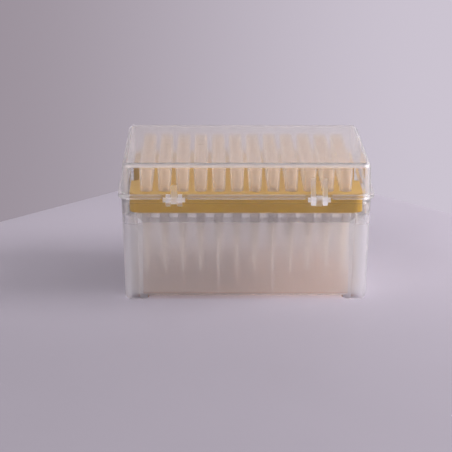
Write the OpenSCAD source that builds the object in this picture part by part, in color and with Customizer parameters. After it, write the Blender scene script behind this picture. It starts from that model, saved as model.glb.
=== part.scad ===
// Hinged storage box with a lift-out rack of pipette tips in the standard 12 by 8 grid.
// The box stands on its feet, with +Z up, +X along its long side and the hinges on the -Y side.
// The origin is on the table under the middle of the box. All sizes are in millimetres.

/* [Tip grid] */
// Distance between neighbouring tips, centre to centre
tip_pitch = 9; // [8.9:0.05:9.5]

/* [Tips] */
// Whole length of a tip
tip_length = 53.5; // [45:0.5:58]
// Height of the ringed collar that stands on the rack
collar_h = 11.3; // [8:0.1:14]
// Collar diameter at its mouth
collar_top_d = 6.9; // [6.6:0.1:7.4]
// Collar diameter where it stands on the rack
collar_low_d = 6.2; // [6:0.05:6.5]
// Diameter of the mouth that the pipette goes into
mouth_d = 5.7; // [5.2:0.1:6]
// Bore diameter at the foot of the collar
seat_d = 4.3; // [4:0.1:4.6]
// Barrel diameter where it passes through the rack
barrel_d = 5.2; // [5:0.05:5.4]
// Barrel diameter at its lower end
barrel_low_d = 4.7; // [4.5:0.05:4.9]
// Length of the barrel under the rack's deck
barrel_length = 16.5; // [10:0.5:22]
// Cone diameter just under the barrel
cone_d = 4.1; // [3.8:0.05:4.3]
// Outer diameter of the tip's end
end_d = 1.1; // [0.9:0.05:1.6]
// Diameter of the hole in the tip's end
orifice_d = 0.5; // [0.3:0.05:0.7]
// Number of grip rings round the collar
ring_count = 7; // [3:1:8]
// Distance between neighbouring grip rings
ring_pitch = 1.25; // [0.9:0.05:1.3]
// Depth of the groove between two grip rings
ring_depth = 0.18; // [0.05:0.01:0.25]

/* [Rack] */
// Height of the deck's top above the table
deck_z = 55; // [50:0.5:80]
// Thickness of the deck
deck_t = 1.6; // [1.2:0.1:2.4]
// Diameter of the holes that the tips stand in
hole_d = 5.6; // [5.5:0.05:5.9]
// Deck left past the outer tips' centres at the short ends
rack_margin_x = 8.3; // [8:0.1:14]
// Deck left past the outer tips' centres at the long sides
rack_margin_y = 7.3; // [6:0.1:12]
// Height of the rack's skirt, deck included
skirt_h = 9.5; // [7:0.1:14]
// Thickness of the rack's skirt
skirt_t = 1.4; // [1:0.1:2]
// Corner radius of the rack
rack_r = 5; // [3:0.1:6]
// Width of the finger notch in each short end
notch_w = 28; // [20:1:40]
// Depth of the finger notch
notch_depth = 3.8; // [3:0.1:4]
// Inner corner radius of the finger notch
notch_r = 2.4; // [1:0.1:3]
// Thickness of the stiffening ribs under the deck
deck_rib_t = 1; // [0.8:0.1:1.6]
// Depth of the stiffening ribs under the deck
deck_rib_h = 3; // [1:0.1:5]

/* [Base] */
// Wall thickness of the base
base_wall = 1.4; // [1:0.1:2]
// Thickness of the floor
floor_t = 1.4; // [1:0.1:3]
// Height of the corner feet under the floor
foot_h = 1.5; // [0.8:0.1:3]
// Length of each corner foot, along both sides of its corner
foot_size = 13; // [10.5:0.1:20]
// Rounding of the lower outside edge
foot_r = 2.4; // [1:0.1:2.6]
// How far each wall leans in from rim to table
base_draft = 1.3; // [0.5:0.1:1.6]
// Corner radius of the base and of the lid at their joint
box_r = 4.5; // [4.5:0.1:7]
// How far the base's rim lies under the deck's top
rim_drop = 1.8; // [1:0.1:3]
// Height of the thick band round the inside of the rim
band_h = 2.7; // [1.5:0.1:5]
// Thickness of the locating lip that stands inside the lid
lip_t = 1; // [0.8:0.1:1.6]
// Width of the ledge that the rack's skirt stands on
ledge_w = 1.6; // [1.4:0.1:2.4]
// Height of the sloping shoulder over each side panel
shoulder_h = 3.5; // [2:0.1:8]
// Size of each corner post, along both sides of its corner
post_size = 10.3; // [8:0.1:16]
// How far the flank of each corner post leans
post_lean = 2.6; // [0.5:0.1:4]
// Distance of the two upright ribs of a long panel from its middle
panel_rib_x = 13.7; // [6:0.1:40]
// Width of the upright panel ribs
panel_rib_w = 1.2; // [0.8:0.1:3]
// How far the upright panel ribs stand out
panel_rib_h = 0.7; // [0.3:0.1:1.5]

/* [Lid] */
// Wall thickness of the lid
lid_wall = 1.2; // [0.9:0.1:1.8]
// Thickness of the lid's top
lid_top_t = 1.2; // [0.9:0.1:2.4]
// Free height between the tips and the lid's top
headroom = 3.4; // [1:0.1:12]
// How far the lid's walls lean in from joint to top
lid_draft = 0.4; // [0.2:0.1:1]
// Rounding of the lid's upper edge
lid_edge_r = 2.6; // [1.8:0.1:3.2]
// Height of the flange round the lid's lower edge
flange_h = 2.1; // [1.2:0.1:4]
// How far the flange stands out
flange_out = 1.6; // [0.8:0.1:2.4]

/* [Hinges and latch] */
// Distance from the box's end to the middle of a hinge
hinge_from_end = 26; // [16:0.1:40]
// Distance of the hinge axis outside the base's wall
hinge_out = 3.3; // [3.2:0.1:5]
// Height of the hinge axis above the base's rim
hinge_rise = 0.6; // [0.5:0.1:1.2]
// Diameter of the hinge axles
axle_d = 2.4; // [2:0.1:2.8]
// Whole length of a hinge axle
axle_length = 11; // [10:0.1:12]
// Thickness of the middle lug of a hinge
lug_t = 3; // [2:0.1:4]
// Radius of the middle lug round the axle
lug_r = 2.1; // [1.9:0.1:2.6]
// Thickness of each outer ear of a hinge
ear_t = 2.2; // [1.6:0.1:2.4]
// Radius of the ears round the axle
ear_r = 2.8; // [2.5:0.1:2.9]
// Width of the snap slot in the ears
snap_w = 1.9; // [1.2:0.1:1.9]
// Length of the gap in the flange at a hinge
flange_gap = 13.7; // [13:0.1:18]
// Width of the latch tongue
latch_w = 22; // [12:1:40]
// How far the latch tongue reaches under the base's rim
latch_drop = 7; // [5:0.1:12]
// Thickness of the latch tongue
latch_t = 1.2; // [0.8:0.1:2]

/* [Clearances] */
// Play between the lid and the base
lid_gap = 0.3; // [0.2:0.05:0.5]
// Play between the rack and the base at the long sides
rack_gap_y = 0.3; // [0.2:0.05:1]
// Play between the rack and the base at the short ends
rack_gap_x = 1.3; // [0.2:0.05:2]
// Radial play of a hinge axle in its ears
axle_gap = 0.08; // [0.03:0.01:0.1]

/* [Hidden] */
$fn = 48;
COLUMNS = 12;
ROWS = 8;
EPS = 0.01;
REACH = 100; // longer than any cut has to be
function column_name(c) = str("tips_column_", c < 10 ? "0" : "", c);

rack_hx = (COLUMNS - 1) * tip_pitch / 2 + rack_margin_x;
rack_hy = (ROWS - 1) * tip_pitch / 2 + rack_margin_y;
ledge_z = deck_z - skirt_h;

// Half sizes of the locating lip, outside, then of the box at the joint of base and lid
lip_hx = rack_hx + rack_gap_x + lip_t;
lip_hy = rack_hy + rack_gap_y + lip_t;
box_hx = lip_hx + lid_gap + lid_wall;
box_hy = lip_hy + lid_gap + lid_wall;
lip_r = box_r - lid_wall - lid_gap;
rim_z = deck_z - rim_drop;
floor_z = foot_h + floor_t;

// Outer planes of the side panels, which put the skirt's ledge at the same place inside
ledge_hx = rack_hx - ledge_w;
ledge_hy = rack_hy - ledge_w;
panel_hx = ledge_hx + base_wall;
panel_hy = ledge_hy + base_wall;
panel_top_z = ledge_z - base_wall;

lid_z = rim_z + lid_gap;
lid_top_z = deck_z + collar_h + headroom + lid_top_t;
inner_edge_r = lid_edge_r - lid_wall;

hinge_x = box_hx - hinge_from_end;
hinge_y = -box_hy - hinge_out;
hinge_z = rim_z + hinge_rise;
ear_in = lug_t / 2 + lid_gap;
web_in = -hinge_out - 0.6; // how deep a hinge's webs run into the wall behind them
ear_drop = 4.6;            // height of an ear's gusset under the axis
lug_web_top = 7.1;         // top of the lid lug's gusset over the axis
ear_web_top = 10.4;        // top of the lid ears' ribs over the axis

latch_in = box_hy + 2.5 * lid_gap;
latch_out = -hinge_y + ear_r;
latch_z = rim_z - latch_drop;
catch_z = rim_z - latch_drop / 2;
catch_h = 1.6;
catch_out = 1.5 * lid_gap;
catch_w = latch_w - 6;

// How far the base's wall has leaned in at height z
function base_lean(z) = base_draft * (rim_z - z) / rim_z;

// ---- shared outlines and forms ----

// A rectangle with rounded corners, given by its half sizes
module rounded_rect(hx, hy, r) {
    square([2 * hx, 2 * (hy - r)], center = true);
    square([2 * (hx - r), 2 * hy], center = true);
    for (x = [-1, 1], y = [-1, 1])
        translate([x * (hx - r), y * (hy - r)]) circle(r);
}

// A section swept round a rectangle: children are the section's outer part, measured from the
// corner's centre line, and the middle is filled from height low to height high
module rounded_form(hx, hy, r, low, high) {
    for (x = [0, 1], y = [0, 1])
        mirror([x, 0, 0]) mirror([0, y, 0])
            translate([hx - r, hy - r, 0]) rotate_extrude(angle = 90) children();
    for (x = [0, 1])
        mirror([x, 0, 0]) translate([hx - r, 0, 0])
            rotate([90, 0, 0]) linear_extrude(2 * (hy - r), center = true) children();
    for (y = [0, 1])
        mirror([0, y, 0]) translate([0, hy - r, 0])
            rotate([90, 0, 90]) linear_extrude(2 * (hx - r), center = true) children();
    translate([0, 0, (low + high) / 2])
        cube([2 * (hx - r), 2 * (hy - r), high - low], center = true);
}

// A slab with rounded corners between two heights
module slab(hx, hy, r, low, high) {
    translate([0, 0, low]) linear_extrude(high - low) rounded_rect(hx, hy, r);
}

// Section mask that rounds an edge of radius r: solid below the height z, or above it when up is -1
module edge_mask(x, z, r, up) {
    translate([0, up > 0 ? z - REACH : z]) square([REACH, REACH]);
    translate([0, z - REACH]) square([x, 2 * REACH]);
    translate([x, z]) circle(r);
}

// ---- tip ----

function collar_radius(h) = (collar_low_d + (collar_top_d - collar_low_d) * h / collar_h) / 2;
ring_start = (collar_h - (ring_count - 1) * ring_pitch) / 2;
groove_h = 0.3 * ring_pitch;
mouth_edge = 0.3;
step_h = 0.6;

function groove_points() = [
    for (i = [0:ring_count - 1], s = [-1, 0, 1])
        let (h = ring_start + i * ring_pitch + s * groove_h)
        [collar_radius(h) - (s == 0 ? ring_depth : 0), h]
];

// One hollow tip, with the foot of its collar at z = 0
module tip() {
    end_z = collar_h - tip_length;
    bore_step_d = seat_d - 1;
    outside = concat(
        [[end_d / 2, end_z], [cone_d / 2, -barrel_length - step_h]],
        [[barrel_low_d / 2, -barrel_length], [barrel_d / 2, 0], [collar_low_d / 2, 0]],
        groove_points(),
        [[collar_top_d / 2, collar_h - mouth_edge], [collar_top_d / 2 - mouth_edge, collar_h]]
    );
    inside = [
        [mouth_d / 2, collar_h],
        [seat_d / 2, 0],
        [bore_step_d / 2, -barrel_length - step_h],
        [orifice_d / 2, end_z]
    ];
    rotate_extrude() polygon(concat(outside, inside));
}

// The eight tips of one column, which a pipette of eight channels takes together
module tips_column(c) {
    color([0.93, 0.88, 0.82, 0.8])
        for (row = [0:ROWS - 1])
            translate([
                (c - 1 - (COLUMNS - 1) / 2) * tip_pitch,
                (row - (ROWS - 1) / 2) * tip_pitch,
                deck_z
            ]) tip();
}

// ---- rack ----

// The rack's outline drawn in by inset, with its two finger notches
module rack_outline(inset) {
    notch_x = rack_hx - notch_depth - inset;
    notch_hy = notch_w / 2 + inset;
    r = notch_r + inset;
    difference() {
        rounded_rect(rack_hx - inset, rack_hy - inset, rack_r - inset);
        for (s = [0, 1]) mirror([s, 0]) {
            translate([notch_x + r, -notch_hy]) square([REACH, 2 * notch_hy]);
            translate([notch_x, -notch_hy + r]) square([REACH, 2 * (notch_hy - r)]);
            for (y = [-1, 1]) translate([notch_x + r, y * (notch_hy - r)]) circle(r);
        }
    }
}

module deck_ribs() {
    low = deck_z - deck_t - deck_rib_h;
    for (c = [1:COLUMNS - 1])
        translate([(c - COLUMNS / 2) * tip_pitch - deck_rib_t / 2, -rack_hy, low])
            cube([deck_rib_t, 2 * rack_hy, deck_rib_h + EPS]);
    for (row = [1:ROWS - 1])
        translate([-rack_hx, (row - ROWS / 2) * tip_pitch - deck_rib_t / 2, low])
            cube([2 * rack_hx, deck_rib_t, deck_rib_h + EPS]);
}

module tip_rack() {
    color([0.85, 0.65, 0.2]) {
        difference() {
            translate([0, 0, ledge_z]) linear_extrude(skirt_h) rack_outline(0);
            translate([0, 0, ledge_z - 1])
                linear_extrude(skirt_h - deck_t + 1) rack_outline(skirt_t);
            for (c = [0:COLUMNS - 1], row = [0:ROWS - 1])
                translate([
                    (c - (COLUMNS - 1) / 2) * tip_pitch,
                    (row - (ROWS - 1) / 2) * tip_pitch,
                    ledge_z
                ]) cylinder(h = skirt_h + 1, d = hole_d);
        }
        intersection() {
            deck_ribs();
            translate([0, 0, ledge_z]) linear_extrude(skirt_h) rack_outline(skirt_t / 2);
        }
    }
}

// ---- hinge parts, drawn at the hinge's own axis: x along the axle, u outwards, v up ----

// Lays a profile of u and v across the axle, from x = start, with the given thickness
module across_axle(start, thickness) {
    translate([start, 0, 0]) rotate([90, 0, -90]) mirror([0, 0, 1])
        linear_extrude(thickness) children();
}

module axle() {
    rotate([0, 90, 0]) cylinder(h = axle_length, d = axle_d, center = true);
}

module hinge_lug(web) {
    across_axle(-lug_t / 2, lug_t) {
        circle(lug_r);
        polygon(web);
    }
    axle();
}

// Two ears with a running bore and a snap slot that points at the given angle
module hinge_ears(web, slot_angle) {
    for (start = [-ear_in - ear_t, ear_in])
        across_axle(start, ear_t) difference() {
            union() {
                circle(ear_r);
                polygon(web);
            }
            circle(axle_d / 2 + axle_gap);
            rotate(slot_angle) translate([0, -snap_w / 2]) square([REACH, snap_w]);
        }
}

// Gussets under the axis, on the base's wall, and over it, on the lid's wall
function base_web(r) = [
    [web_in, -hinge_rise],
    [0, -hinge_rise],
    [0.6 * r, -0.8 * r],
    [web_in, -ear_drop]
];
function lid_web(r, top) = [
    [web_in, 0],
    [0, 0],
    [0.5 * r, 0.8 * r],
    [web_in, top]
];

// ---- base ----

// Block in the place of a side panel, for a side that faces +Y. It starts depth inside the
// panel's outer plane, and its ends lean like the corner posts' flanks, grown outwards by grow.
module panel_block(panel_h, box_h, panel_half, grow, depth) {
    slope = post_lean / (box_h - panel_h);
    half = panel_half + grow * sqrt(1 + slope * slope);
    near = half - depth * slope;
    far = half + (box_h + 1 - panel_h) * slope;
    translate([0, 0, -1]) linear_extrude(REACH)
        polygon([
            [-near, panel_h - depth],
            [near, panel_h - depth],
            [far, box_h + 1],
            [-far, box_h + 1]
        ]);
}

// What the panel's recess takes away, across the wall: full depth, with a sloping shoulder
// above and a rounded lower edge that is left standing
module recess_profile(panel_h, box_h) {
    polygon([
        [panel_h, foot_h + foot_r],
        [panel_h, panel_top_z - shoulder_h],
        [box_h, panel_top_z],
        [box_h + 2, panel_top_z],
        [box_h + 2, -1],
        [panel_h - foot_r, -1],
        [panel_h - foot_r, foot_h],
        [panel_h, foot_h]
    ]);
    difference() {
        translate([panel_h - foot_r, foot_h - EPS]) square([foot_r + EPS, foot_r + EPS]);
        translate([panel_h - foot_r, foot_h + foot_r]) circle(foot_r);
    }
}

// One side's recess, for a side whose outward direction is +Y
module side_recess(panel_h, box_h, panel_half) {
    intersection() {
        panel_block(panel_h, box_h, panel_half, 0, foot_r);
        rotate([90, 0, 90]) linear_extrude(2 * REACH, center = true)
            recess_profile(panel_h, box_h);
    }
}

module base_outside() {
    low_r = box_r - base_draft;
    rounded_form(box_hx, box_hy, box_r, 0, rim_z)
        intersection() {
            polygon([[0, 0], [low_r, 0], [box_r, rim_z], [0, rim_z]]);
            edge_mask(low_r - foot_r, foot_r, foot_r, -1);
        }
}

// The hollow inside, drawn in by the wall, with the side panels and the rack's ledge left out
module base_inside() {
    band_z = rim_z - band_h;
    r = box_r - base_wall;
    difference() {
        rounded_form(box_hx - base_wall, box_hy - base_wall, r, floor_z, band_z)
            polygon([
                [0, floor_z],
                [r - base_lean(floor_z), floor_z],
                [r - base_lean(band_z), band_z],
                [0, band_z]
            ]);
        for (s = [0, 1]) {
            mirror([0, s, 0]) intersection() {
                panel_block(panel_hy, box_hy, box_hx - post_size, base_wall, base_wall);
                translate([-REACH, 0, 0]) cube([2 * REACH, REACH, ledge_z]);
            }
            mirror([s, 0, 0]) rotate(-90) intersection() {
                panel_block(panel_hx, box_hx, box_hy - post_size, base_wall, base_wall);
                translate([-REACH, 0, 0]) cube([2 * REACH, REACH, ledge_z]);
            }
        }
    }
    slab(lip_hx - lip_t, lip_hy - lip_t, lip_r - lip_t, band_z - EPS, REACH);
}

module panel_ribs() {
    for (y = [0, 1], x = [-1, 1])
        mirror([0, y, 0])
            translate([x * panel_rib_x - panel_rib_w / 2, panel_hy - EPS, foot_h + foot_r])
                cube([panel_rib_w, panel_rib_h, panel_top_z - shoulder_h - foot_h - foot_r]);
}

// Ridge on the front wall that the latch tongue closes over
module latch_catch() {
    rotate([90, 0, 90]) linear_extrude(catch_w, center = true)
        polygon([
            [box_hy - base_wall / 2, catch_z - catch_h],
            [box_hy + catch_out, catch_z - catch_h / 4],
            [box_hy + catch_out, catch_z + catch_h / 4],
            [box_hy - base_wall / 2, catch_z + catch_h]
        ]);
}

module base_box() {
    color([0.86, 0.85, 0.84, 0.6]) {
        difference() {
            union() {
                base_outside();
                slab(lip_hx, lip_hy, lip_r, rim_z - EPS, deck_z);
            }
            base_inside();
            for (s = [0, 1]) {
                mirror([0, s, 0]) side_recess(panel_hy, box_hy, box_hx - post_size);
                mirror([s, 0, 0]) rotate(-90) side_recess(panel_hx, box_hx, box_hy - post_size);
            }
            translate([0, 0, foot_h - REACH / 2])
                cube([2 * (box_hx - foot_size), 2 * REACH, REACH], center = true);
            translate([0, 0, foot_h - REACH / 2])
                cube([2 * REACH, 2 * (box_hy - foot_size), REACH], center = true);
        }
        panel_ribs();
        latch_catch();
        translate([-hinge_x, hinge_y, hinge_z]) hinge_ears(base_web(ear_r), 60);
        translate([hinge_x, hinge_y, hinge_z]) hinge_lug(base_web(lug_r));
    }
}

// ---- lid ----

module lid_outside() {
    top_r = box_r - lid_draft;
    rounded_form(box_hx, box_hy, box_r, lid_z, lid_top_z)
        intersection() {
            polygon([[0, lid_z], [box_r, lid_z], [top_r, lid_top_z], [0, lid_top_z]]);
            edge_mask(top_r - lid_edge_r, lid_top_z - lid_edge_r, lid_edge_r, 1);
        }
}

module lid_inside() {
    low = lid_z - 1;
    high = lid_top_z - lid_top_t;
    r = box_r - lid_wall;
    top_r = r - lid_draft;
    rounded_form(box_hx - lid_wall, box_hy - lid_wall, r, low, high)
        intersection() {
            polygon([[0, low], [r, low], [r, lid_z], [top_r, high], [0, high]]);
            edge_mask(top_r - inner_edge_r, high - inner_edge_r, inner_edge_r, 1);
        }
}

module flange() {
    difference() {
        slab(box_hx + flange_out, box_hy + flange_out, box_r + flange_out, lid_z, lid_z + flange_h);
        for (x = [-1, 1])
            translate([x * hinge_x, -box_hy - flange_out, lid_z])
                cube([flange_gap, 2 * flange_out + EPS, 2 * flange_h + 1], center = true);
    }
}

// Tongue over the base's catch, with a window in it and a thumb lip at its foot
module latch_tongue() {
    lip_t_out = 1.4;
    window_h = 2.6;
    difference() {
        rotate([90, 0, 90]) linear_extrude(latch_w, center = true)
            polygon([
                [latch_in, latch_z],
                [latch_out - 0.5, latch_z],
                [latch_out, latch_z + 0.5],
                [latch_out, latch_z + lip_t_out],
                [latch_in + latch_t + 1, latch_z + lip_t_out],
                [latch_in + latch_t, latch_z + lip_t_out + 1],
                [latch_in + latch_t, lid_z + flange_h],
                [box_hy - EPS, lid_z + flange_h],
                [box_hy - EPS, lid_z],
                [latch_in, lid_z]
            ]);
        translate([0, latch_in, catch_z])
            cube([catch_w + 1, 4 * latch_t, window_h], center = true);
    }
}

module lid() {
    color([0.9, 0.9, 0.92, 0.4]) {
        difference() {
            union() {
                lid_outside();
                flange();
                latch_tongue();
            }
            lid_inside();
        }
        translate([-hinge_x, hinge_y, hinge_z]) hinge_lug(lid_web(lug_r, lug_web_top));
        translate([hinge_x, hinge_y, hinge_z]) hinge_ears(lid_web(ear_r, ear_web_top), -60);
    }
}

base_box();
lid();
tip_rack();
for (c = [1:COLUMNS])
    tips_column(c);
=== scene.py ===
"""Hinged box of pipette tips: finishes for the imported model, a plain studio and its camera.

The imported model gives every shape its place. Lengths are in metres, and the box stands on z = 0
with its hinges towards -Y, which is the side that the camera looks at.
"""

from __future__ import annotations

import logging
import math
from dataclasses import dataclass, field
from enum import Enum
from typing import Callable, ClassVar

import bmesh
import bpy
from mathutils import Matrix, Vector


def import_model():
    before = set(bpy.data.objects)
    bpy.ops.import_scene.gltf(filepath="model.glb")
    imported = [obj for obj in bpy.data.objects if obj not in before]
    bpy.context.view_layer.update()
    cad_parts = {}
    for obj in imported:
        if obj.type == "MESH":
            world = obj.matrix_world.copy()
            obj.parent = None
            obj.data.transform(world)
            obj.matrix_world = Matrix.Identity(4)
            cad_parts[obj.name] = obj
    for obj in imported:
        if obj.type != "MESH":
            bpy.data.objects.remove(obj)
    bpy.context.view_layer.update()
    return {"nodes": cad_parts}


LOG = logging.getLogger("tip_box")
MM = 0.001

Colour = tuple[float, float, float]


def from_srgb(red: int, green: int, blue: int) -> Colour:
    """Turns a colour of three values up to 255 into linear light.

    Args:
        red: The red value.
        green: The green value.
        blue: The blue value.

    Returns:
        The colour in linear light, each value up to 1.
    """
    return tuple(
        v / 12.92 if v <= 0.04045 else ((v + 0.055) / 1.055) ** 2.4
        for v in (red / 255, green / 255, blue / 255)
    )


# ---------------------------------------------------------------------------------------------
# Shader graphs
# ---------------------------------------------------------------------------------------------


class Graph:
    """Adds and links the nodes of one material, world or shader group."""

    def __init__(self, tree: bpy.types.NodeTree) -> None:
        """Starts on a node tree.

        Args:
            tree: The tree that the nodes go into.
        """
        self.tree = tree
        self.placed = 0

    def add(self, kind: str, **settings: object) -> bpy.types.Node:
        """Adds one node.

        Args:
            kind: Blender's name of the node type.
            **settings: Properties of the node.

        Returns:
            The new node.
        """
        node = self.tree.nodes.new(kind)
        node.location = (220 * (self.placed % 8), -260 * (self.placed // 8))
        self.placed += 1
        for name, value in settings.items():
            setattr(node, name, value)
        return node

    def feed(self, target: bpy.types.NodeSocket, source: object) -> None:
        """Links a socket to its source, or sets it where the source is a plain value.

        Args:
            target: The input that gets the value.
            source: A socket, a plain value, or None to leave the input as it is.
        """
        if isinstance(source, bpy.types.NodeSocket):
            self.tree.links.new(source, target)
        elif source is not None:
            target.default_value = source

    def math(self, operation: str, *values: object, clamp: bool = False) -> bpy.types.NodeSocket:
        """Adds a Math node.

        Args:
            operation: Blender's name of the operation.
            *values: A socket or a number for each input.
            clamp: True to keep the result from 0 to 1.

        Returns:
            The result's socket.
        """
        node = self.add("ShaderNodeMath", operation=operation, use_clamp=clamp)
        for socket, value in zip(node.inputs, values):
            self.feed(socket, value)
        return node.outputs["Value"]

    def span(
        self, value: bpy.types.NodeSocket, low: float, high: float, start: float, end: float
    ) -> bpy.types.NodeSocket:
        """Turns values from low to high into values from start to end, with soft ends.

        Args:
            value: The socket that gives the value.
            low: Value where the change starts.
            high: Value where the change is complete.
            start: Result at low and before it.
            end: Result at high and past it.

        Returns:
            The result's socket.
        """
        node = self.add("ShaderNodeMapRange", interpolation_type="SMOOTHSTEP")
        for name, source in (
            ("Value", value),
            ("From Min", low),
            ("From Max", high),
            ("To Min", start),
            ("To Max", end),
        ):
            self.feed(node.inputs[name], source)
        return node.outputs["Result"]

    def axis(self, vector: bpy.types.NodeSocket, name: str) -> bpy.types.NodeSocket:
        """Gives one coordinate of a vector.

        Args:
            vector: The socket of the vector.
            name: X, Y or Z.

        Returns:
            The coordinate's socket.
        """
        split = self.add("ShaderNodeSeparateXYZ")
        self.feed(split.inputs["Vector"], vector)
        return split.outputs[name]

    def away(self, vector: bpy.types.NodeSocket, name: str) -> bpy.types.NodeSocket:
        """Gives the size of one coordinate of a vector."""
        return self.math("ABSOLUTE", self.axis(vector, name))

    def band(
        self, value: bpy.types.NodeSocket, low: float, high: float, fade: float
    ) -> bpy.types.NodeSocket:
        """Gives 1 between two values and 0 outside them.

        Args:
            value: The socket that gives the value.
            low: Middle of the lower fade.
            high: Middle of the upper fade.
            fade: Half the width of each fade.

        Returns:
            The mask's socket.
        """
        over = self.span(value, low - fade, low + fade, 0.0, 1.0)
        under = self.span(value, high - fade, high + fade, 1.0, 0.0)
        return self.math("MULTIPLY", over, under)

    def toward(
        self, value: bpy.types.NodeSocket, end: float, share: bpy.types.NodeSocket
    ) -> bpy.types.NodeSocket:
        """Moves a value a share of the way to another."""
        gap = self.math("SUBTRACT", end, value)
        return self.math("MULTIPLY_ADD", gap, share, value)

    def blend(self, factor: object, first: object, second: object) -> bpy.types.NodeSocket:
        """Mixes two colours.

        Args:
            factor: Share of the second colour.
            first: A socket or a colour of four values.
            second: A socket or a colour of four values.

        Returns:
            The mixed colour's socket.
        """
        node = self.add("ShaderNodeMix", data_type="RGBA")
        self.feed(node.inputs["Factor"], factor)
        self.feed(node.inputs["A"], first)
        self.feed(node.inputs["B"], second)
        sockets = [s for s in node.outputs if s.type == "RGBA"]
        return sockets[0]

    def noise(
        self, vector: bpy.types.NodeSocket, scale: float, detail: float, rough: float = 0.5
    ) -> bpy.types.NodeSocket:
        """Adds a Noise Texture.

        Args:
            vector: The socket that gives the place.
            scale: How fine the noise is.
            detail: How many finer layers it has.
            rough: How strong the finer layers are.

        Returns:
            The noise's socket, with values around a half.
        """
        node = self.add("ShaderNodeTexNoise", noise_dimensions="3D")
        self.feed(node.inputs["Vector"], vector)
        self.feed(node.inputs["Scale"], scale)
        self.feed(node.inputs["Detail"], detail)
        self.feed(node.inputs["Roughness"], rough)
        return node.outputs["Fac"]


class Socket(Enum):
    """Kinds of socket on a shader group."""

    VALUE = "NodeSocketFloat"
    COLOUR = "NodeSocketColor"
    VECTOR = "NodeSocketVector"


@dataclass(frozen=True)
class Effect:
    """A shader group that several finishes share."""

    name: str
    inputs: tuple[tuple[str, Socket, object], ...]
    outputs: tuple[tuple[str, Socket], ...]

    def tree(self) -> bpy.types.NodeTree:
        """Gives the group's tree, which is made the first time.

        Returns:
            The node tree of the group.
        """
        found = bpy.data.node_groups.get(self.name)
        if found:
            return found
        tree = bpy.data.node_groups.new(self.name, "ShaderNodeTree")
        for name, kind, value in self.inputs:
            socket = tree.interface.new_socket(name, in_out="INPUT", socket_type=kind.value)
            socket.default_value = value
        for name, kind in self.outputs:
            tree.interface.new_socket(name, in_out="OUTPUT", socket_type=kind.value)
        graph = Graph(tree)
        start = graph.add("NodeGroupInput")
        end = graph.add("NodeGroupOutput")
        self.wire(graph, start.outputs, end.inputs)
        return tree

    def wire(self, graph: Graph, given: object, wanted: object) -> None:
        """Fills the group with its nodes; each effect has its own."""
        raise NotImplementedError

    def place(self, graph: Graph, **values: object) -> bpy.types.Node:
        """Puts the group into a material.

        Args:
            graph: The material's graph.
            **values: Sockets or values for the inputs, with _ for each space in a name.

        Returns:
            The group's node.
        """
        node = graph.add("ShaderNodeGroup", node_tree=self.tree())
        for name, value in values.items():
            graph.feed(node.inputs[name.replace("_", " ")], value)
        return node


class CloudyResin(Effect):
    """Slow changes in the resin's density and tone, as a moulding has where it flowed in."""

    FINER: ClassVar[float] = 7.3
    WIDE_SHARE: ClassVar[float] = 0.7
    NARROW_SHARE: ClassVar[float] = 0.3
    BORDER: ClassVar[tuple[float, float]] = (0.36, 0.64)

    def wire(self, graph: Graph, given: object, wanted: object) -> None:
        """Mixes two tones by a wide and a narrow noise.

        Args:
            graph: The group's graph.
            given: Sockets of the group's inputs.
            wanted: Sockets of the group's outputs.
        """
        wide = graph.noise(given["Vector"], given["Scale"], detail=3.0)
        fine = graph.math("MULTIPLY", given["Scale"], self.FINER)
        narrow = graph.noise(given["Vector"], fine, detail=2.0)
        both = graph.math(
            "MULTIPLY_ADD", narrow, self.NARROW_SHARE, graph.math("MULTIPLY", wide, self.WIDE_SHARE)
        )
        mask = graph.span(both, *self.BORDER, 0.0, 1.0)
        share = graph.math("MULTIPLY", mask, given["Amount"])
        graph.feed(wanted["Color"], graph.blend(share, given["Tone"], given["Other"]))


class MouldGrain(Effect):
    """The fine grain of a sparked mould, with the faint swirls of the polished one under it."""

    COARSER: ClassVar[float] = 0.06

    def wire(self, graph: Graph, given: object, wanted: object) -> None:
        """Adds a fine grain and a soft waviness into one height.

        Args:
            graph: The group's graph.
            given: Sockets of the group's inputs.
            wanted: Sockets of the group's outputs.
        """
        grain = graph.noise(given["Vector"], given["Scale"], detail=2.0, rough=0.6)
        coarse = graph.math("MULTIPLY", given["Scale"], self.COARSER)
        wave = graph.noise(given["Vector"], coarse, detail=1.0)
        height = graph.math("MULTIPLY_ADD", wave, given["Wave"], grain)
        graph.feed(wanted["Height"], height)
        rough = graph.math("SUBTRACT", grain, 0.5)
        graph.feed(
            wanted["Roughness"], graph.math("MULTIPLY_ADD", rough, given["Vary"], given["Base"])
        )


class SparkedFrost(Effect):
    """Tiny rough spots between smooth ones, so that a face both veils and shows what is behind."""

    EVEN: ClassVar[tuple[float, float]] = (0.3, 0.7)
    CRISPNESS: ClassVar[float] = 12.0

    def wire(self, graph: Graph, given: object, wanted: object) -> None:
        """Turns a share of the spots of a fine noise rough.

        Args:
            graph: The group's graph.
            given: Sockets of the group's inputs.
            wanted: Sockets of the group's outputs.
        """
        spots = graph.noise(given["Vector"], given["Scale"], detail=1.0)
        even = graph.span(spots, *self.EVEN, 0.0, 1.0)
        over = graph.math("SUBTRACT", graph.math("ADD", even, given["Share"]), 1.0)
        graph.feed(wanted["Mask"], graph.math("MULTIPLY", over, self.CRISPNESS, clamp=True))


class SoftEdges(Effect):
    """Rounded edges and corners, where thick resin looks paler than the flat walls."""

    def wire(self, graph: Graph, given: object, wanted: object) -> None:
        """Finds faces whose normal lies along none of the three axes.

        Args:
            graph: The group's graph.
            given: Sockets of the group's inputs.
            wanted: Sockets of the group's outputs.
        """
        normal = graph.add("ShaderNodeNewGeometry").outputs["Normal"]
        along = [graph.away(normal, name) for name in "XYZ"]
        most = graph.math("MAXIMUM", graph.math("MAXIMUM", along[0], along[1]), along[2])
        graph.feed(wanted["Mask"], graph.span(most, given["Start"], given["End"], 1.0, 0.0))


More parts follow.
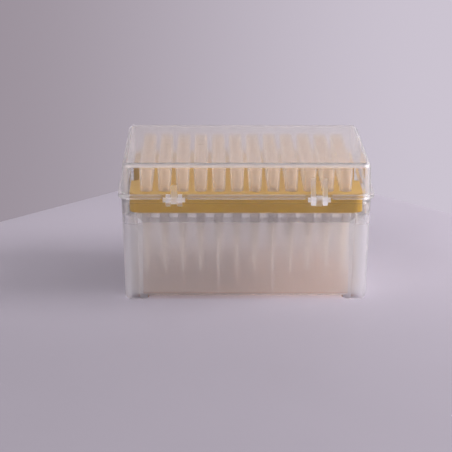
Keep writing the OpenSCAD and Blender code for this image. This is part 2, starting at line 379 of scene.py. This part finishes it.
class HandlingScuffs(Effect):
    """Short thin scratches and rubbed patches, as a box gets on a bench."""

    WAYS: ClassVar[tuple[tuple[float, float], ...]] = ((0.6, 26.0), (2.0, 34.0), (1.2, 18.0))
    LEAN: ClassVar[tuple[float, float, float]] = (0.3, 0.2, 1.0)
    THICKNESS: ClassVar[float] = 0.012
    PATCH_SCALE: ClassVar[float] = 0.8
    PATCH_BORDER: ClassVar[tuple[float, float]] = (0.5, 0.66)

    def wire(self, graph: Graph, given: object, wanted: object) -> None:
        """Keeps thin lines of a stretched noise, only where a wide noise allows them.

        Args:
            graph: The group's graph.
            given: Sockets of the group's inputs.
            wanted: Sockets of the group's outputs.
        """
        total = 0.0
        for turn, stretch in self.WAYS:
            mapping = graph.add("ShaderNodeMapping")
            graph.feed(mapping.inputs["Vector"], given["Vector"])
            mapping.inputs["Rotation"].default_value = [lean * turn for lean in self.LEAN]
            mapping.inputs["Scale"].default_value = (1.0, stretch, stretch)
            line = graph.noise(mapping.outputs["Vector"], given["Scale"], detail=1.0)
            off = graph.math("ABSOLUTE", graph.math("SUBTRACT", line, 0.5))
            total = graph.math("MAXIMUM", total, graph.span(off, 0.0, self.THICKNESS, 1.0, 0.0))
        scale = graph.math("MULTIPLY", given["Scale"], self.PATCH_SCALE)
        wide = graph.noise(given["Vector"], scale, detail=2.0)
        where = graph.span(wide, *self.PATCH_BORDER, 0.0, 1.0)
        scuffed = graph.math("MULTIPLY", total, where)
        graph.feed(wanted["Mask"], graph.math("MULTIPLY", scuffed, given["Amount"]))


class SettledDust(Effect):
    """A thin film of dust on faces that look up."""

    LEVEL_ENOUGH: ClassVar[tuple[float, float]] = (0.55, 0.98)
    PATCH_BORDER: ClassVar[tuple[float, float]] = (0.38, 0.7)
    THINNEST: ClassVar[float] = 0.25

    def wire(self, graph: Graph, given: object, wanted: object) -> None:
        """Takes the upward part of the normal and breaks it up.

        Args:
            graph: The group's graph.
            given: Sockets of the group's inputs.
            wanted: Sockets of the group's outputs.
        """
        normal = graph.add("ShaderNodeNewGeometry").outputs["Normal"]
        up = graph.span(graph.axis(normal, "Z"), *self.LEVEL_ENOUGH, 0.0, 1.0)
        patch = graph.noise(given["Vector"], given["Scale"], detail=5.0, rough=0.7)
        cover = graph.span(patch, *self.PATCH_BORDER, self.THINNEST, 1.0)
        film = graph.math("MULTIPLY", up, cover)
        graph.feed(wanted["Mask"], graph.math("MULTIPLY", film, given["Amount"]))


VECTOR_IN = ("Vector", Socket.VECTOR, (0.0, 0.0, 0.0))
CLOUDS = CloudyResin(
    "cloudy_resin",
    (
        VECTOR_IN,
        ("Scale", Socket.VALUE, 40.0),
        ("Amount", Socket.VALUE, 0.5),
        ("Tone", Socket.COLOUR, (0.8, 0.8, 0.8, 1.0)),
        ("Other", Socket.COLOUR, (0.7, 0.7, 0.7, 1.0)),
    ),
    (("Color", Socket.COLOUR),),
)
GRAIN = MouldGrain(
    "mould_grain",
    (
        VECTOR_IN,
        ("Scale", Socket.VALUE, 2500.0),
        ("Wave", Socket.VALUE, 0.5),
        ("Base", Socket.VALUE, 0.3),
        ("Vary", Socket.VALUE, 0.1),
    ),
    (("Height", Socket.VALUE), ("Roughness", Socket.VALUE)),
)
FROST = SparkedFrost(
    "sparked_frost",
    (VECTOR_IN, ("Scale", Socket.VALUE, 4000.0), ("Share", Socket.VALUE, 0.3)),
    (("Mask", Socket.VALUE),),
)
EDGES = SoftEdges(
    "soft_edges",
    (
        ("Start", Socket.VALUE, 0.93),
        ("End", Socket.VALUE, 0.985),
    ),
    (("Mask", Socket.VALUE),),
)
SCUFFS = HandlingScuffs(
    "handling_scuffs",
    (VECTOR_IN, ("Scale", Socket.VALUE, 30.0), ("Amount", Socket.VALUE, 0.5)),
    (("Mask", Socket.VALUE),),
)
DUST = SettledDust(
    "settled_dust",
    (VECTOR_IN, ("Scale", Socket.VALUE, 120.0), ("Amount", Socket.VALUE, 0.2)),
    (("Mask", Socket.VALUE),),
)

# ---------------------------------------------------------------------------------------------
# Finishes
# ---------------------------------------------------------------------------------------------


def rgba(colour: Colour) -> tuple[float, float, float, float]:
    """Adds the fourth value that colour sockets want."""
    return (*colour, 1.0)


class Zone(Enum):
    """Parts of the mouldings that a finish treats by themselves."""

    EDGES = "rounded edges and corners"
    TOP = "faces that look straight up or down"
    HINGES = "hinges on the -Y side"
    RIM = "what stands out past the walls"
    MATT = "matt walls under the ledge"
    LEDGE = "band under the ledge"
    FOOT = "foot of the base"
    RIBS = "upright ribs of the long panels"
    BARRELS = "tips under the deck"
    GROOVES = "grooves around the collars"


@dataclass(frozen=True)
class Places:
    """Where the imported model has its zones, from its middle and from the table."""

    hinge_x: float = 35.6 * MM
    hinge_half: float = 6.45 * MM
    hinge_y: float = -41.8 * MM
    rim_reach: tuple[float, float] = (62.0 * MM, 42.0 * MM)
    matt_top: float = 45.3 * MM
    ledge: tuple[float, float] = (40.0 * MM, 45.6 * MM)
    foot: tuple[float, float] = (-1.0 * MM, 4.0 * MM)
    # Height band of the painted shadow under the box, at the foot.
    foot_shadow: tuple[float, float] = (2.5 * MM, 4.0 * MM)
    low_top: float = 40.0 * MM
    panel_x: float = 54.0 * MM
    panel_fade: float = 3.0 * MM
    rib_x: float = 13.7 * MM
    rib_half: float = 0.5 * MM
    deck: float = 55.0 * MM
    first_groove: float = 1.9 * MM
    groove_pitch: float = 1.25 * MM
    grooves: int = 7
    groove_under: float = 0.55 * MM
    groove_over: float = 0.45 * MM
    groove_line: tuple[float, float] = (0.12, 0.26)
    level_normal: tuple[float, float] = (0.9, 0.99)
    fade: float = 0.1 * MM


PLACES = Places()


class ZoneMasks:
    """Makes the mask of each zone in one material, when it is first asked for."""

    def __init__(self, graph: Graph, place: bpy.types.NodeSocket) -> None:
        """Starts with no masks.

        Args:
            graph: The material's graph.
            place: The socket of the object's own coordinates.
        """
        self.graph = graph
        self.place = place
        self.made: dict[Zone, bpy.types.NodeSocket] = {}
        self.makers: dict[Zone, Callable[[], bpy.types.NodeSocket]] = {
            Zone.EDGES: self.edges,
            Zone.TOP: self.top,
            Zone.HINGES: self.hinges,
            Zone.RIM: self.rim,
            Zone.MATT: self.matt,
            Zone.LEDGE: self.ledge,
            Zone.FOOT: self.foot,
            Zone.RIBS: self.ribs,
            Zone.BARRELS: self.barrels,
            Zone.GROOVES: self.grooves,
        }

    def __getitem__(self, zone: Zone) -> bpy.types.NodeSocket:
        """Gives the mask of a zone.

        Args:
            zone: The zone.

        Returns:
            The socket that is 1 in the zone and 0 outside it.
        """
        if zone not in self.made:
            self.made[zone] = self.makers[zone]()
        return self.made[zone]

    def height(self) -> bpy.types.NodeSocket:
        """Gives the height over the table."""
        return self.graph.axis(self.place, "Z")

    def edges(self) -> bpy.types.NodeSocket:
        """Masks the rounded edges."""
        return EDGES.place(self.graph).outputs["Mask"]

    def top(self) -> bpy.types.NodeSocket:
        """Masks the flat faces by their true normal."""
        normal = self.graph.add("ShaderNodeNewGeometry").outputs["True Normal"]
        return self.graph.span(self.graph.away(normal, "Z"), *PLACES.level_normal, 0.0, 1.0)

    def hinges(self) -> bpy.types.NodeSocket:
        """Masks the two hinges.

        Returns:
            The mask's socket.
        """
        graph = self.graph
        off = graph.math("SUBTRACT", graph.away(self.place, "X"), PLACES.hinge_x)
        half, fade = PLACES.hinge_half, 1.5 * PLACES.fade
        near = graph.span(graph.math("ABSOLUTE", off), half - fade, half + fade, 1.0, 0.0)
        wall = PLACES.hinge_y
        across = graph.axis(self.place, "Y")
        out = graph.span(across, wall - PLACES.fade, wall + PLACES.fade, 1.0, 0.0)
        return graph.math("MULTIPLY", near, out)

    def rim(self) -> bpy.types.NodeSocket:
        """Masks the rims and the hinges.

        Returns:
            The mask's socket.
        """
        masks = [
            self.graph.span(
                self.graph.away(self.place, name), reach - PLACES.fade, reach + PLACES.fade, 0.0, 1.0
            )
            for name, reach in zip("XY", PLACES.rim_reach)
        ]
        return self.graph.math("MAXIMUM", *masks)

    def matt(self) -> bpy.types.NodeSocket:
        """Masks what lies under the height where the mould turns matt.

        Returns:
            The mask's socket.
        """
        fade = 2.0 * PLACES.fade
        top = PLACES.matt_top
        return self.graph.span(self.height(), top - fade, top + fade, 1.0, 0.0)

    def ledge(self) -> bpy.types.NodeSocket:
        """Masks the band under the ledge."""
        return self.graph.band(self.height(), *PLACES.ledge, 1.5 * PLACES.fade)

    def foot(self) -> bpy.types.NodeSocket:
        """Masks the foot of the base."""
        return self.graph.band(self.height(), *PLACES.foot, 1.5 * PLACES.fade)

    def ribs(self) -> bpy.types.NodeSocket:
        """Masks the upright ribs.

        Returns:
            The mask's socket.
        """
        graph = self.graph
        off = graph.math("SUBTRACT", graph.away(self.place, "X"), PLACES.rib_x)
        half, fade = PLACES.rib_half, PLACES.fade
        line = graph.span(graph.math("ABSOLUTE", off), half - fade, half + fade, 1.0, 0.0)
        return graph.math("MULTIPLY", line, self[Zone.MATT])

    def barrels(self) -> bpy.types.NodeSocket:
        """Masks the tips under the deck."""
        return self.graph.span(self.height(), PLACES.deck - MM, PLACES.deck, 1.0, 0.0)

    def grooves(self) -> bpy.types.NodeSocket:
        """Masks a line in the middle of each groove around a collar.

        Returns:
            The mask's socket.
        """
        graph, height = self.graph, self.height()
        first = PLACES.deck + PLACES.first_groove
        last = first + (PLACES.grooves - 1) * PLACES.groove_pitch
        turns = graph.math("DIVIDE", graph.math("SUBTRACT", height, first), PLACES.groove_pitch)
        share = graph.math("FRACT", graph.math("ADD", turns, 0.5))
        off = graph.math("ABSOLUTE", graph.math("SUBTRACT", share, 0.5))
        line = graph.span(off, *PLACES.groove_line, 1.0, 0.0)
        low = first - PLACES.groove_under
        high = last + PLACES.groove_over
        collar = graph.band(height, low, high, 0.5 * PLACES.fade)
        return graph.math("MULTIPLY", line, collar)

    def panels(self) -> bpy.types.NodeSocket:
        """Masks what lies between the corner posts.

        Returns:
            The mask's socket.
        """
        inner = PLACES.panel_x - PLACES.panel_fade
        outer = PLACES.panel_x + PLACES.panel_fade
        return self.graph.span(self.graph.away(self.place, "X"), inner, outer, 1.0, 0.0)


@dataclass
class Surface:
    """One material while its finish is being wired."""

    graph: Graph
    shader: bpy.types.Node
    place: bpy.types.NodeSocket
    colour: bpy.types.NodeSocket
    rough: bpy.types.NodeSocket

    def set(self, name: str, value: object) -> None:
        """Feeds one input of the shader with a socket, or sets it to a plain value."""
        self.graph.feed(self.shader.inputs[name], value)


@dataclass(frozen=True, kw_only=True)
class Finish:
    """Moulded resin with cloudy tones, a grain and dust, which the finishes add to."""

    name: str
    tone: Colour
    other: Colour
    roughness: float
    vary: float
    bump: float
    bump_depth: float = 0.1 * MM
    cloud_scale: float = 45.0
    cloud_amount: float = 0.6
    grain_scale: float = 2600.0
    grain_wave: float = 0.6
    dust: float = 0.0
    dust_scale: float = 150.0
    dust_tone: Colour = (0.62, 0.58, 0.60)

    def build(self) -> bpy.types.Material:
        """Makes the material.

        Returns:
            The finished material.
        """
        material = bpy.data.materials.new(self.name)
        material.use_nodes = True
        graph = Graph(material.node_tree)
        shader = material.node_tree.nodes["Principled BSDF"]
        place = graph.add("ShaderNodeTexCoord").outputs["Object"]
        grain = GRAIN.place(
            graph,
            Vector=place,
            Scale=self.grain_scale,
            Wave=self.grain_wave,
            Base=self.roughness,
            Vary=self.vary,
        )
        colour = self.resin(graph, place)
        surface = Surface(graph, shader, place, colour, grain.outputs["Roughness"])
        self.wire(surface)
        surface.set("Base Color", surface.colour)
        surface.set("Roughness", graph.math("ADD", surface.rough, 0.0, clamp=True))
        bump = graph.add("ShaderNodeBump")
        bump.inputs["Strength"].default_value = self.bump
        bump.inputs["Distance"].default_value = self.bump_depth
        graph.feed(bump.inputs["Height"], grain.outputs["Height"])
        surface.set("Normal", bump.outputs["Normal"])
        return material

    def resin(self, graph: Graph, place: bpy.types.NodeSocket) -> bpy.types.NodeSocket:
        """Gives the resin's colour, with dust on the faces that look up.

        Args:
            graph: The material's graph.
            place: The socket of the object's own coordinates.

        Returns:
            The colour's socket.
        """
        clouds = CLOUDS.place(
            graph,
            Vector=place,
            Scale=self.cloud_scale,
            Amount=self.cloud_amount,
            Tone=rgba(self.tone),
            Other=rgba(self.other),
        )
        colour = clouds.outputs["Color"]
        if self.dust:
            dust = DUST.place(graph, Vector=place, Scale=self.dust_scale, Amount=self.dust)
            colour = graph.blend(dust.outputs["Mask"], colour, rgba(self.dust_tone))
        return colour

    def wire(self, surface: Surface) -> None:
        """Adds what one kind of finish has of its own."""
        raise NotImplementedError


@dataclass(frozen=True)
class PaintedWallShade:
    """Painted light and shade between the corner posts: a warm glow from the yellow rack and the
    tips, warmer painted shade lower down, and a dark brown painted shadow at the foot under the box.
    """

    high: Colour
    low: Colour
    foot: Colour

    def colour(self, masks: ZoneMasks) -> bpy.types.NodeSocket:
        """Gives the painted light and shade, which changes with the height.

        Args:
            masks: The material's zone masks.

        Returns:
            The colour's socket.
        """
        graph = masks.graph
        low = graph.span(masks.height(), 0.0, PLACES.low_top, 1.0, 0.0)
        foot = graph.span(masks.height(), *PLACES.foot_shadow, 1.0, 0.0)
        return graph.blend(foot, graph.blend(low, rgba(self.high), rgba(self.low)), rgba(self.foot))


@dataclass(frozen=True, kw_only=True)
class SeeThrough(Finish):
    """Natural polypropylene that light goes through: the base, the lid and the tips."""

    transmission: float
    ior: float
    lamp_hold: float
    scuffs: float = 0.0
    scuff_scale: float = 28.0
    scuff_roughness: float = 0.35
    sheen: float = 0.0
    sheen_roughness: float = 0.5
    painted_wall_shade: PaintedWallShade | None = None
    tones: tuple[tuple[Zone, Colour], ...] = ()
    roughnesses: tuple[tuple[Zone, float], ...] = ()
    frost: float = 0.0
    frost_scale: float = 4000.0
    frost_roughness: float = 0.85
    veils: tuple[tuple[Zone, float], ...] = ()
    veil_ior: float = 2.0
    veil_roughness: float = 0.5

    def wire(self, surface: Surface) -> None:
        """Adds the zones, the pale veil over some of them, and the light that passes.

        Args:
            surface: The material that is being wired.
        """
        masks = ZoneMasks(surface.graph, surface.place)
        self.tint(surface, masks)
        self.roughen(surface, masks)
        self.veil(surface, masks)
        surface.set("Alpha", self.shadow_alpha(surface.graph))
        surface.set("IOR", self.ior)
        surface.set("Transmission Weight", self.transmission)
        surface.set("Sheen Weight", self.sheen)
        surface.set("Sheen Roughness", self.sheen_roughness)

    def tint(self, surface: Surface, masks: ZoneMasks) -> None:
        """Colours the walls and the zones, with painted light and shade on some of them.

        Args:
            surface: The material that is being wired.
            masks: The material's zone masks.
        """
        graph = surface.graph
        if self.painted_wall_shade:
            tint = self.painted_wall_shade.colour(masks)
            surface.colour = graph.blend(masks.panels(), surface.colour, tint)
        for zone, tone in self.tones:
            surface.colour = graph.blend(masks[zone], surface.colour, rgba(tone))

    def roughen(self, surface: Surface, masks: ZoneMasks) -> None:
        """Sets how rough the scuffs, the zones and the frost are.

        Args:
            surface: The material that is being wired.
            masks: The material's zone masks.
        """
        graph, place = surface.graph, surface.place
        if self.scuffs:
            scuffs = SCUFFS.place(graph, Vector=place, Scale=self.scuff_scale, Amount=self.scuffs)
            surface.rough = graph.math(
                "MULTIPLY_ADD", scuffs.outputs["Mask"], self.scuff_roughness, surface.rough
            )
        for zone, roughness in self.roughnesses:
            surface.rough = graph.toward(surface.rough, roughness, masks[zone])
        if self.frost:
            share = graph.math("MULTIPLY", masks[Zone.TOP], self.frost)
            frost = FROST.place(graph, Vector=place, Scale=self.frost_scale, Share=share)
            surface.rough = graph.toward(surface.rough, self.frost_roughness, frost.outputs["Mask"])

    def veil(self, surface: Surface, masks: ZoneMasks) -> None:
        """Lays a pale, rough coat over some zones, as thick resin scatters light back.

        Args:
            surface: The material that is being wired.
            masks: The material's zone masks.
        """
        total = 0.0
        for zone, level in self.veils:
            share = surface.graph.math("MULTIPLY", masks[zone], level)
            total = surface.graph.math("MAXIMUM", total, share)
        surface.set("Coat Weight", total)
        surface.set("Coat IOR", self.veil_ior)
        surface.set("Coat Roughness", self.veil_roughness)

    def shadow_alpha(self, graph: Graph) -> bpy.types.NodeSocket:
        """Lets most of a lamp's light through on its way to what lies behind.

        Args:
            graph: The material's graph.

        Returns:
            The socket for Alpha: 1, and less for shadow rays.
        """
        shadow = graph.add("ShaderNodeLightPath").outputs["Is Shadow Ray"]
        passed = 1.0 - self.lamp_hold
        return graph.math("SUBTRACT", 1.0, graph.math("MULTIPLY", shadow, passed))


@dataclass(frozen=True, kw_only=True)
class Tinted(Finish):
    """Coloured, nearly opaque polypropylene with a satin face: the rack."""

    gloss: float
    glow: float
    glow_radius: tuple[float, float, float] = (1.0, 0.6, 0.2)
    glow_depth: float = 1.2 * MM

    def wire(self, surface: Surface) -> None:
        """Adds the gloss and the light that spreads in the resin.

        Args:
            surface: The material that is being wired.
        """
        surface.set("Specular IOR Level", self.gloss)
        surface.set("Subsurface Weight", self.glow)
        surface.set("Subsurface Radius", self.glow_radius)
        surface.set("Subsurface Scale", self.glow_depth)


PALE_EDGE: Colour = (0.98, 0.97, 0.98)
PALE_HINGE: Colour = (0.97, 0.96, 0.98)
LID_FINISH = SeeThrough(
    name="lid_polypropylene",
    tone=(0.95, 0.94, 0.935),
    other=(0.935, 0.925, 0.92),
    transmission=0.96,
    roughness=0.03,
    vary=0.02,
    ior=1.30,
    lamp_hold=0.08,
    bump=0.015,
    scuffs=0.3,
    dust=0.03,
    sheen=0.12,
    frost=0.03,
    tones=(
        # A darker, warmer tone on the lid's flat top and underside: painted shade.
        (Zone.TOP, (0.915, 0.885, 0.86)),
        (Zone.EDGES, PALE_EDGE),
        (Zone.HINGES, PALE_HINGE),
    ),
    roughnesses=((Zone.EDGES, 0.5), (Zone.HINGES, 0.5), (Zone.TOP, 0.09)),
    veils=((Zone.EDGES, 0.8), (Zone.HINGES, 1.0), (Zone.RIM, 1.0)),
    veil_ior=2.2,
)
BASE_FINISH = SeeThrough(
    name="base_polypropylene",
    tone=(0.99, 0.985, 0.985),
    other=(0.98, 0.975, 0.975),
    transmission=0.97,
    roughness=0.06,
    vary=0.05,
    ior=1.30,
    lamp_hold=0.05,
    bump=0.03,
    scuffs=0.3,
    dust=0.15,
    # Painted light and shade on the panels: warm light from the yellow rack and tips, and a dark
    # brown painted shadow under the box at the foot.
    painted_wall_shade=PaintedWallShade(high=(1.0, 0.985, 0.96), low=(1.0, 0.97, 0.93), foot=(0.66, 0.42, 0.26)),
    tones=(
        # The warm tone of the band under the ledge is painted light and shade from the yellow rack
        # just above it.
        (Zone.LEDGE, (1.0, 0.975, 0.94)),
        (Zone.EDGES, PALE_EDGE),
        (Zone.HINGES, PALE_HINGE),
    ),
    roughnesses=(
        (Zone.MATT, 0.38),
        (Zone.EDGES, 0.5),
        (Zone.HINGES, 0.5),
        (Zone.LEDGE, 0.26),
    ),
    veils=(
        (Zone.EDGES, 0.8),
        (Zone.HINGES, 1.0),
        (Zone.MATT, 0.7),
        (Zone.RIM, 0.5),
        (Zone.LEDGE, 1.0),
        (Zone.FOOT, 0.3),
        (Zone.RIBS, 1.0),
    ),
    veil_ior=2.5,
)
TIP_FINISH = SeeThrough(
    name="tip_polypropylene",
    # The warm tone is partly the tips' own colour and partly painted yellow light from the rack on
    # the collars; under the deck the barrels keep a paler tone.
    tone=(0.87, 0.78, 0.66),
    other=(0.87, 0.78, 0.66),
    transmission=0.86,
    roughness=0.22,
    vary=0.06,
    ior=1.20,
    lamp_hold=0.05,
    bump=0.03,
    tones=((Zone.BARRELS, (0.935, 0.885, 0.84)),),
    veils=((Zone.GROOVES, 1.0),),
)
RACK_FINISH = Tinted(
    name="rack_polypropylene",
    tone=from_srgb(178, 139, 16),
    other=from_srgb(170, 131, 12),
    roughness=0.42,
    vary=0.12,
    bump=0.12,
    cloud_scale=38.0,
    cloud_amount=0.8,
    grain_scale=3200.0,
    grain_wave=0.5,
    dust=0.1,
    dust_scale=170.0,
    dust_tone=(0.62, 0.55, 0.45),
    gloss=0.3,
    glow=0.35,
)


# ---------------------------------------------------------------------------------------------
# Sub-assemblies
# ---------------------------------------------------------------------------------------------


@dataclass
class Dresser:
    """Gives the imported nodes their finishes."""

    nodes: dict[str, bpy.types.Object]

    def wear(self, name: str, material: bpy.types.Material) -> None:
        """Puts one material on every slot of a node.

        Args:
            name: The node's name.
            material: The finish that it gets.
        """
        mesh = self.nodes[name].data
        mesh.materials.clear()
        mesh.materials.append(material)


@dataclass
class FrostedBase:
    """The deep base under the rack."""

    node: str = "base_box"
    finish: SeeThrough = BASE_FINISH

    def dress(self, dresser: Dresser) -> None:
        """Gives the base its finish."""
        dresser.wear(self.node, self.finish.build())
        LOG.info("base: %s", self.node)


@dataclass
class ClearLid:
    """The lid over the tips."""

    node: str = "lid"
    finish: SeeThrough = LID_FINISH

    def dress(self, dresser: Dresser) -> None:
        """Gives the lid its finish."""
        dresser.wear(self.node, self.finish.build())
        LOG.info("lid: %s", self.node)


@dataclass
class YellowRack:
    """The rack that the tips stand in."""

    node: str = "tip_rack"
    finish: Tinted = RACK_FINISH

    def dress(self, dresser: Dresser) -> None:
        """Gives the rack its finish."""
        dresser.wear(self.node, self.finish.build())
        LOG.info("rack: %s", self.node)


@dataclass
class TipColumns:
    """The twelve columns of eight tips."""

    prefix: str = "tips_column_"
    finish: SeeThrough = TIP_FINISH

    def dress(self, dresser: Dresser) -> None:
        """Gives every column the tips' finish.

        Args:
            dresser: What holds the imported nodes.
        """
        material = self.finish.build()
        names = sorted(name for name in dresser.nodes if name.startswith(self.prefix))
        for name in names:
            dresser.wear(name, material)
        LOG.info("tips: %d columns", len(names))


# ---------------------------------------------------------------------------------------------
# Studio
# ---------------------------------------------------------------------------------------------


def pick_edges(piece: bpy.types.Object, wanted: Callable[[list[Vector]], bool]) -> None:
    """Selects the edges that pass a test, and nothing else, on a piece in edit mode.

    Args:
        piece: The piece in edit mode.
        wanted: Test of an edge by the places of its two ends.
    """
    bpy.ops.mesh.select_mode(type="EDGE")
    bpy.ops.mesh.select_all(action="DESELECT")
    mesh = bmesh.from_edit_mesh(piece.data)
    for edge in mesh.edges:
        edge.select_set(wanted([vertex.co for vertex in edge.verts]))
    bmesh.update_edit_mesh(piece.data)


@dataclass(frozen=True)
class Softbox:
    """One square lamp with soft light."""

    name: str
    place: tuple[float, float, float]
    aim: tuple[float, float, float]
    width: float
    power: float
    tone: Colour

    def build(self) -> None:
        """Adds the lamp and turns it to its aim."""
        light = bpy.data.lights.new(self.name, "AREA")
        light.shape = "SQUARE"
        light.size = self.width
        light.energy = self.power
        light.color = self.tone
        lamp = bpy.data.objects.new(self.name, light)
        bpy.context.scene.collection.objects.link(lamp)
        lamp.location = self.place
        aim = Vector(self.aim) - lamp.location
        lamp.rotation_euler = aim.to_track_quat("-Z", "Y").to_euler()
        lamp.visible_camera = False
        lamp.visible_transmission = False


@dataclass
class Studio:
    """A square pale table, one corner to the back, painted darker towards the front and lighter at
    the back, in front of a pale wall colour painted darker on the left and lighter on the right:
    painted light and shade.
    """

    table_side: float = 0.80
    table_depth: float = 0.020
    table_corner: float = 0.030
    table_edge: float = 0.003
    corner_segments: int = 12
    edge_segments: int = 4
    smooth_angle: float = math.radians(40)
    table_back: tuple[float, float] = (0.001, 0.235)
    table_turn: float = math.radians(45.0)
    table_tone: Colour = from_srgb(193, 186, 198)
    # Painted shade towards the front of the table and painted light towards its back.
    front_painted_shade: float = 0.80
    rear_painted_light: float = 1.10
    table_fade: float = 0.15
    table_mark: Colour = (0.2, 0.18, 0.2)
    mark_scale: float = 14.0
    mark_border: tuple[float, float] = (0.3, 0.7)
    mark_share: float = 0.03
    table_roughness: float = 0.6
    # The wall colour is painted darker on the left and lighter on the right: painted shade and light
    # from the key lamp on the right.
    shaded_wall_left: Colour = from_srgb(155, 145, 155)
    lit_wall_right: Colour = from_srgb(204, 196, 209)
    wall_fade: float = 0.16
    room_tone: Colour = (1.0, 0.97, 1.0)
    room_level: float = 0.42
    lamps: tuple[Softbox, ...] = field(
        default_factory=lambda: (
            Softbox("key", (0.62, -0.04, 0.42), (0.0, 0.0, 0.03), 0.35, 4.5, (1.0, 0.97, 1.0)),
            Softbox("fill", (-0.5, -0.6, 0.6), (0.0, 0.0, 0.0), 0.30, 1.9, (1.0, 0.98, 1.0)),
        )
    )

    def build(self) -> None:
        """Makes the table, the wall colour and the lamps."""
        self.build_table()
        self.build_room()
        for lamp in self.lamps:
            lamp.build()
        LOG.info("studio: table and %d lamps", len(self.lamps))

    def build_table(self) -> None:
        """Makes the table's top, with rounded corners and edges."""
        bpy.ops.object.select_all(action="DESELECT")
        bpy.ops.mesh.primitive_cube_add(
            size=1.0,
            location=(0.0, 0.0, -self.table_depth / 2),
            scale=(self.table_side, self.table_side, self.table_depth),
        )
        table = bpy.context.object
        table.name = "table"
        bpy.ops.object.transform_apply(location=True, scale=True)
        bpy.ops.object.mode_set(mode="EDIT")
        pick_edges(table, lambda ends: abs(ends[0].z - ends[1].z) > self.table_depth / 2)
        bpy.ops.mesh.bevel(offset=self.table_corner, segments=self.corner_segments, affect="EDGES")
        bpy.ops.object.mode_set(mode="OBJECT")
        modifier = table.modifiers.new("edge", "BEVEL")
        modifier.width = self.table_edge
        modifier.segments = self.edge_segments
        modifier.limit_method = "ANGLE"
        bpy.ops.object.modifier_apply(modifier=modifier.name)
        diagonal = self.table_side / math.sqrt(2.0)
        table.rotation_euler.z = self.table_turn
        table.location = (self.table_back[0], self.table_back[1] - diagonal, 0.0)
        bpy.ops.object.transform_apply(location=True, rotation=True)
        bpy.ops.object.shade_smooth_by_angle(angle=self.smooth_angle)
        material = bpy.data.materials.new("table_paint")
        material.use_nodes = True
        graph = Graph(material.node_tree)
        shader = material.node_tree.nodes["Principled BSDF"]
        place = graph.add("ShaderNodeTexCoord").outputs["Object"]
        uneven = graph.noise(place, self.mark_scale, detail=4.0)
        patch = graph.span(uneven, *self.mark_border, 0.0, 1.0)
        marks = graph.math("MULTIPLY", patch, self.mark_share)
        # Painted shade towards the front of the table and painted light towards its back.
        reach = self.table_fade
        rear_light_share = graph.span(graph.axis(place, "Y"), -reach, reach, 0.0, 1.0)
        tones = [
            rgba(tuple(level * v for v in self.table_tone))
            for level in (self.front_painted_shade, self.rear_painted_light)
        ]
        tone = graph.blend(rear_light_share, *tones)
        graph.feed(shader.inputs["Base Color"], graph.blend(marks, tone, rgba(self.table_mark)))
        shader.inputs["Roughness"].default_value = self.table_roughness
        table.data.materials.append(material)

    def build_room(self) -> None:
        """Gives the world a plain light, and its wall colour, with painted shade on the left and
        painted light on the right, to what is seen of it.
        """
        world = bpy.data.worlds.new("room")
        bpy.context.scene.world = world
        world.use_nodes = True
        graph = Graph(world.node_tree)
        backdrop = world.node_tree.nodes["Background"]
        output = world.node_tree.nodes["World Output"]
        light = graph.add("ShaderNodeBackground")
        light.inputs["Color"].default_value = rgba(self.room_tone)
        light.inputs["Strength"].default_value = self.room_level
        way = graph.add("ShaderNodeTexCoord").outputs["Generated"]
        across = graph.span(graph.axis(way, "X"), -self.wall_fade, self.wall_fade, 0.0, 1.0)
        graph.feed(
            backdrop.inputs["Color"],
            graph.blend(across, rgba(self.shaded_wall_left), rgba(self.lit_wall_right)),
        )
        path = graph.add("ShaderNodeLightPath")
        seen = graph.math(
            "MAXIMUM",
            path.outputs["Is Camera Ray"],
            graph.math(
                "MAXIMUM", path.outputs["Is Glossy Ray"], path.outputs["Is Transmission Ray"]
            ),
        )
        mix = graph.add("ShaderNodeMixShader")
        graph.feed(mix.inputs[0], seen)
        graph.feed(mix.inputs[1], light.outputs["Background"])
        graph.feed(mix.inputs[2], backdrop.outputs["Background"])
        graph.feed(output.inputs["Surface"], mix.outputs["Shader"])


@dataclass(frozen=True)
class Viewpoint:
    """The camera, in front of the hinge side and a little above the lid."""

    place: tuple[float, float, float] = (-0.0200, -0.7923, 0.2760)
    pitch: float = math.radians(17.491)
    yaw: float = math.radians(-0.760)
    roll: float = math.radians(0.244)
    lens: float = 126.94
    sensor: float = 36.0

    def build(self) -> None:
        """Adds the camera and makes it the scene's."""
        forward = Vector(
            (
                -math.sin(self.yaw) * math.cos(self.pitch),
                math.cos(self.yaw) * math.cos(self.pitch),
                -math.sin(self.pitch),
            )
        )
        level = Vector((math.cos(self.yaw), math.sin(self.yaw), 0.0))
        upright = level.cross(forward)
        right = level * math.cos(self.roll) + upright * math.sin(self.roll)
        up = upright * math.cos(self.roll) - level * math.sin(self.roll)
        data = bpy.data.cameras.new("camera")
        data.lens = self.lens
        data.sensor_width = self.sensor
        data.clip_start = 0.01
        camera = bpy.data.objects.new("camera", data)
        bpy.context.scene.collection.objects.link(camera)
        turn = Matrix((right, up, -forward)).transposed()
        camera.matrix_world = Matrix.Translation(self.place) @ turn.to_4x4()
        bpy.context.scene.camera = camera
        LOG.info("camera at %s", tuple(round(v, 4) for v in self.place))


def set_light_paths(scene: bpy.types.Scene) -> None:
    """Allows enough bounces for light to pass many thin walls.

    Args:
        scene: The scene that is rendered.
    """
    scene.cycles.max_bounces = 24
    scene.cycles.diffuse_bounces = 5
    scene.cycles.glossy_bounces = 6
    scene.cycles.transmission_bounces = 24
    scene.cycles.transparent_max_bounces = 32
    scene.view_settings.view_transform = "Standard"


def main() -> None:
    """Builds everything in order and reports each piece."""
    logging.basicConfig(level=logging.INFO, format="%(name)s: %(message)s")
    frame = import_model()
    dresser = Dresser(frame["nodes"])
    for part in (FrostedBase(), YellowRack(), TipColumns(), ClearLid()):
        part.dress(dresser)
    Studio().build()
    Viewpoint().build()
    set_light_paths(bpy.context.scene)


if __name__ == "__main__":
    main()
